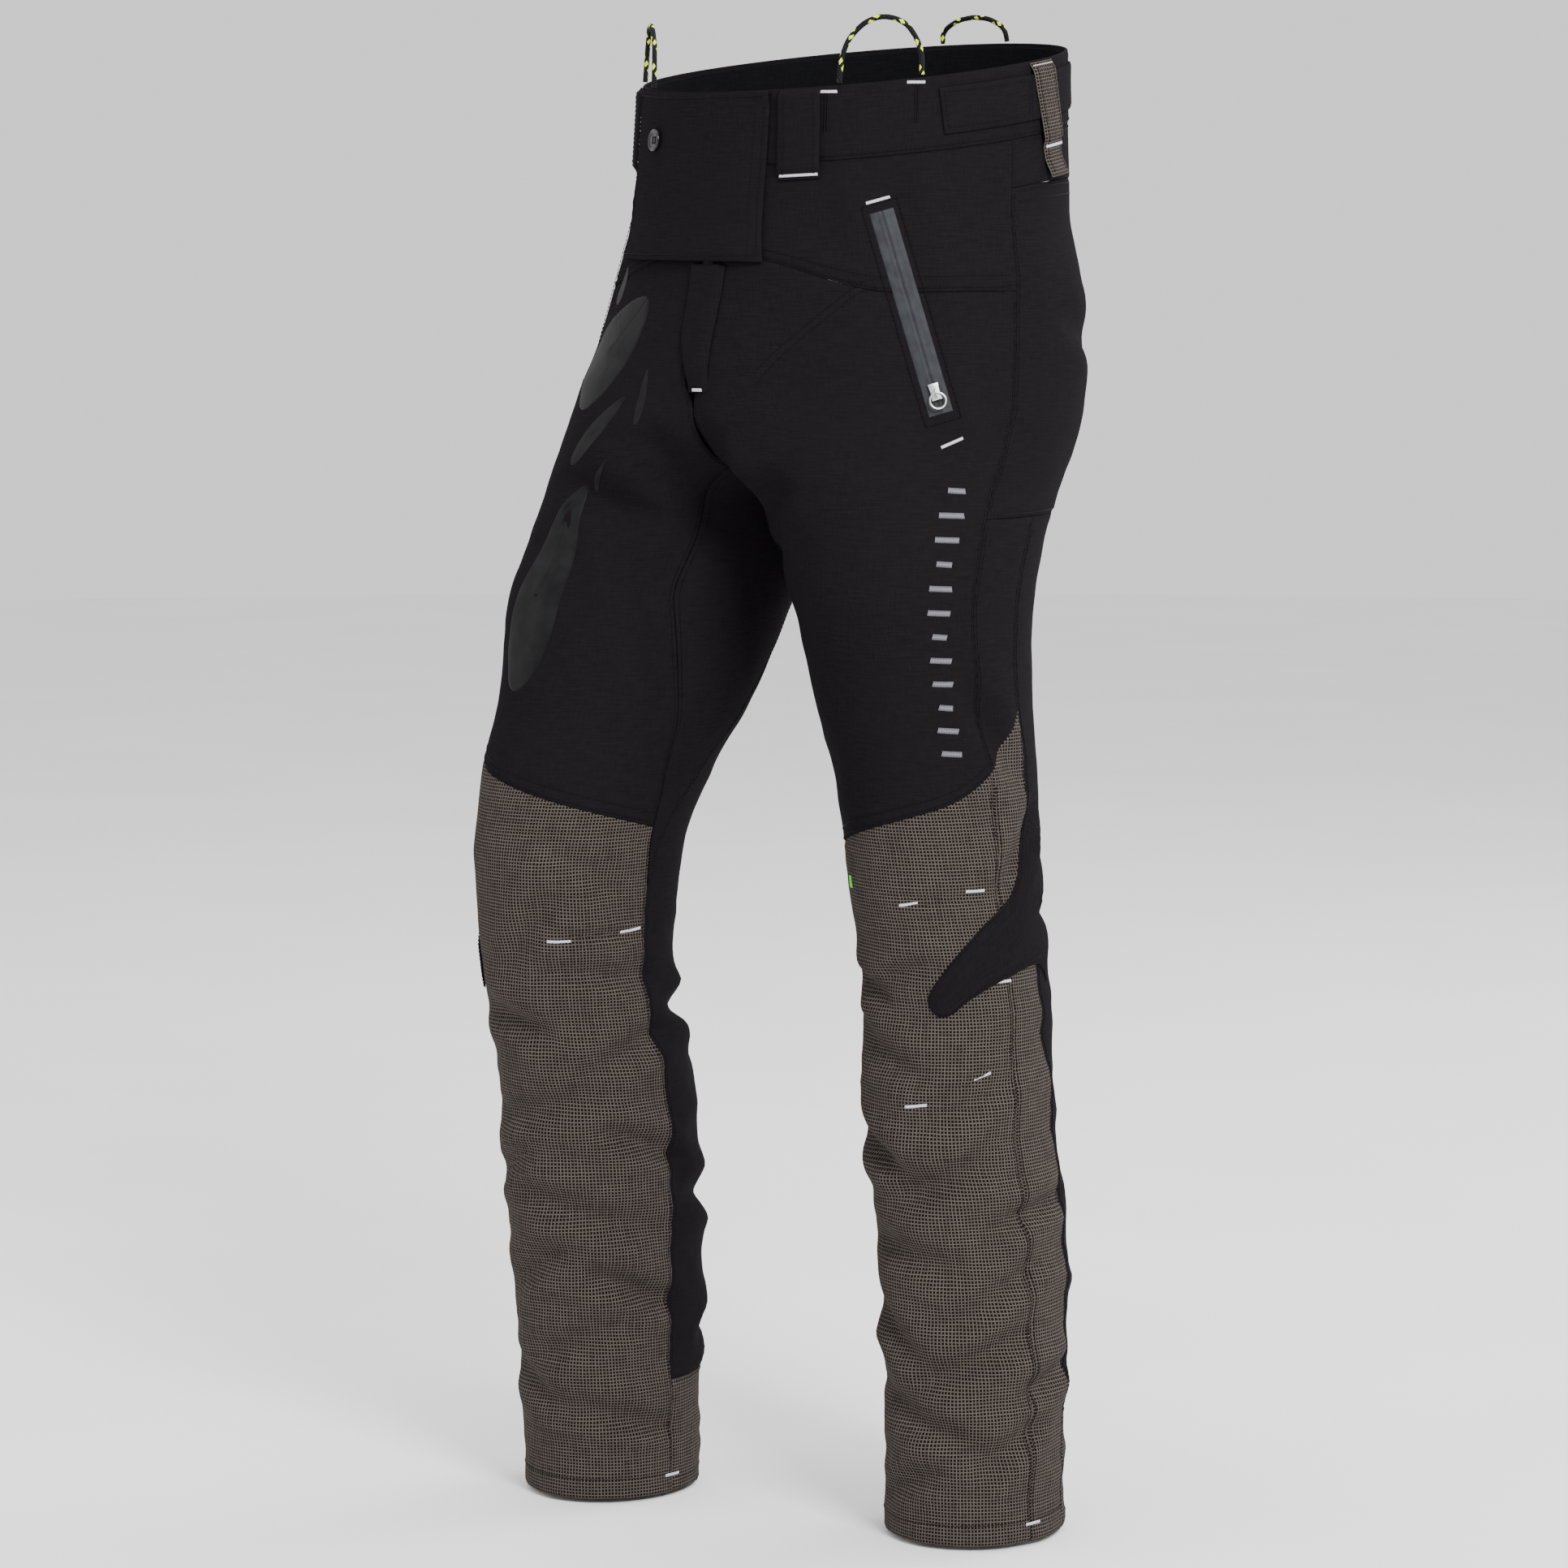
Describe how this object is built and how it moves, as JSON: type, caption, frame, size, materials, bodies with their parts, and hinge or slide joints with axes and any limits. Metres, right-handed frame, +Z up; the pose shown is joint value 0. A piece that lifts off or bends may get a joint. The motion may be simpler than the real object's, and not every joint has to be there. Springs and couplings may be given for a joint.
{
  "type": "chainsaw protective trousers",
  "caption": "Chainsaw protective trousers with stretch upper, gridded abrasion cloth lower legs, zip pockets, waist adjusters and brace loops.",
  "frame": {"origin": "centre of the waist opening, where the wearer holds the trousers up", "axes": "+Z up along the standing wearer, -Y to the wearer's front, +X to the wearer's left"},
  "size_m": [0.4094, 0.3877, 1.0957],
  "materials": {
    "stretch_cloth": "black ripstop-look four-way stretch outer cloth, matte",
    "grid_cloth": "brown-grey abrasion cloth with a light grid on dark cells",
    "strap_cloth": "black doubled cloth with topstitching",
    "pack_fibre": "knitted cut-retardant layers",
    "lining_mesh": "dark smooth lining",
    "zip_tape": "grey coated water-repellent tape",
    "metal": "bright nickel-plated zip metal",
    "button_plastic": "black glossy resin",
    "shock_cord": "black sheathed shock cord with bright yellow-green tracers"
  },
  "bodies": {
    "trousers": {"front_yoke_left": "stretch_cloth", "front_thigh_left": "stretch_cloth", "inner_gusset_left": "stretch_cloth", "seat_left": "stretch_cloth", "side_thigh_left": "stretch_cloth", "back_thigh_left": "stretch_cloth", "knee_panel_left": "grid_cloth", "knee_side_left": "grid_cloth", "knee_back_left": "stretch_cloth", "thigh_pack_left": "pack_fibre", "pocket_zip_left": "zip_tape", "pocket_bag_left": "lining_mesh", "waistband_left": "stretch_cloth", "adjuster_strap_left": "strap_cloth", "belt_loop_front_left": "strap_cloth", "belt_loop_side_left": "grid_cloth", "brace_loop_front_left": "shock_cord", "front_yoke_right": "stretch_cloth", "front_thigh_right": "stretch_cloth", "inner_gusset_right": "stretch_cloth", "seat_right": "stretch_cloth", "side_thigh_right": "stretch_cloth", "back_thigh_right": "stretch_cloth", "knee_panel_right": "grid_cloth", "knee_side_right": "grid_cloth", "knee_back_right": "stretch_cloth", "thigh_pack_right": "pack_fibre", "pocket_zip_right": "zip_tape", "pocket_bag_right": "lining_mesh", "waistband_right": "stretch_cloth", "adjuster_strap_right": "strap_cloth", "belt_loop_front_right": "strap_cloth", "belt_loop_side_right": "grid_cloth", "brace_loop_front_right": "shock_cord", "back_yoke": "stretch_cloth", "waistband_facing": "lining_mesh", "fly_zip_tape": "zip_tape", "fly_placket": "stretch_cloth", "belt_loop_back": "strap_cloth", "brace_loop_back": "shock_cord"},
    "closure_flap": {"closure_flap": "stretch_cloth", "waist_button": "button_plastic"},
    "fly_slider": {"fly_zip_slider": "metal"},
    "shin_left": {"shin_panel_left": "grid_cloth", "side_shin_left": "grid_cloth", "calf_panel_left": "stretch_cloth", "heel_panel_left": "grid_cloth", "shin_pack_left": "pack_fibre"},
    "adjuster_tab_left": {"adjuster_tab_left": "strap_cloth"},
    "pocket_slider_left": {"pocket_slider_left": "metal"},
    "pull_ring_left": {"pull_ring_left": "metal"},
    "shin_right": {"shin_panel_right": "grid_cloth", "side_shin_right": "grid_cloth", "calf_panel_right": "stretch_cloth", "heel_panel_right": "grid_cloth", "shin_pack_right": "pack_fibre"},
    "adjuster_tab_right": {"adjuster_tab_right": "strap_cloth"},
    "pocket_slider_right": {"pocket_slider_right": "metal"},
    "pull_ring_right": {"pull_ring_right": "metal"}
  },
  "joints": [
    {"name": "knee_left", "type": "hinge", "parent": "trousers", "child": "shin_left", "pos_m": [0.126, -0.02, -0.665], "axis": [1, 0, 0], "range_deg": [0, 60], "deforming": ["knee_panel_left", "knee_side_left", "knee_back_left"]},
    {"name": "adjuster_tab_left_peel", "type": "hinge", "parent": "trousers", "child": "adjuster_tab_left", "pos_m": [0.17498, 0.0018, -0.01995], "axis": [-0.023, 0.0143, 0.9996], "range_deg": [0, 110]},
    {"name": "pocket_zip_left_slide", "type": "slide", "parent": "trousers", "child": "pocket_slider_left", "axis": [-0.2717, -0.1281, 0.9538], "range_m": [0, 0.122]},
    {"name": "pull_ring_left_swing", "type": "hinge", "parent": "pocket_slider_left", "child": "pull_ring_left", "pos_m": [0.16447, -0.08488, -0.23025], "axis": [-0.6029, -0.7498, -0.2725], "range_deg": [0, 120]},
    {"name": "knee_right", "type": "hinge", "parent": "trousers", "child": "shin_right", "pos_m": [-0.126, -0.158, -0.665], "axis": [1, 0, 0], "range_deg": [0, 60], "deforming": ["knee_panel_right", "knee_side_right", "knee_back_right"]},
    {"name": "adjuster_tab_right_peel", "type": "hinge", "parent": "trousers", "child": "adjuster_tab_right", "pos_m": [-0.17498, 0.0018, -0.01995], "axis": [-0.023, -0.0143, -0.9996], "range_deg": [0, 110]},
    {"name": "pocket_zip_right_slide", "type": "slide", "parent": "trousers", "child": "pocket_slider_right", "axis": [0.2725, 0.1028, 0.9566], "range_m": [0, 0.122]},
    {"name": "pull_ring_right_swing", "type": "hinge", "parent": "pocket_slider_right", "child": "pull_ring_right", "pos_m": [-0.16443, -0.11542, -0.22972], "axis": [-0.6243, 0.7754, 0.0945], "range_deg": [0, 120]},
    {"name": "closure_flap_swing", "type": "hinge", "parent": "trousers", "child": "closure_flap", "pos_m": [0.04979, -0.14186, -0.07927], "axis": [-0.0518, 0.1202, 0.9914], "range_deg": [0, 110]},
    {"name": "fly_zip_slide", "type": "slide", "parent": "trousers", "child": "fly_slider", "axis": [0, -0.168, -0.9858], "range_m": [0, 0.108]}
  ]
}
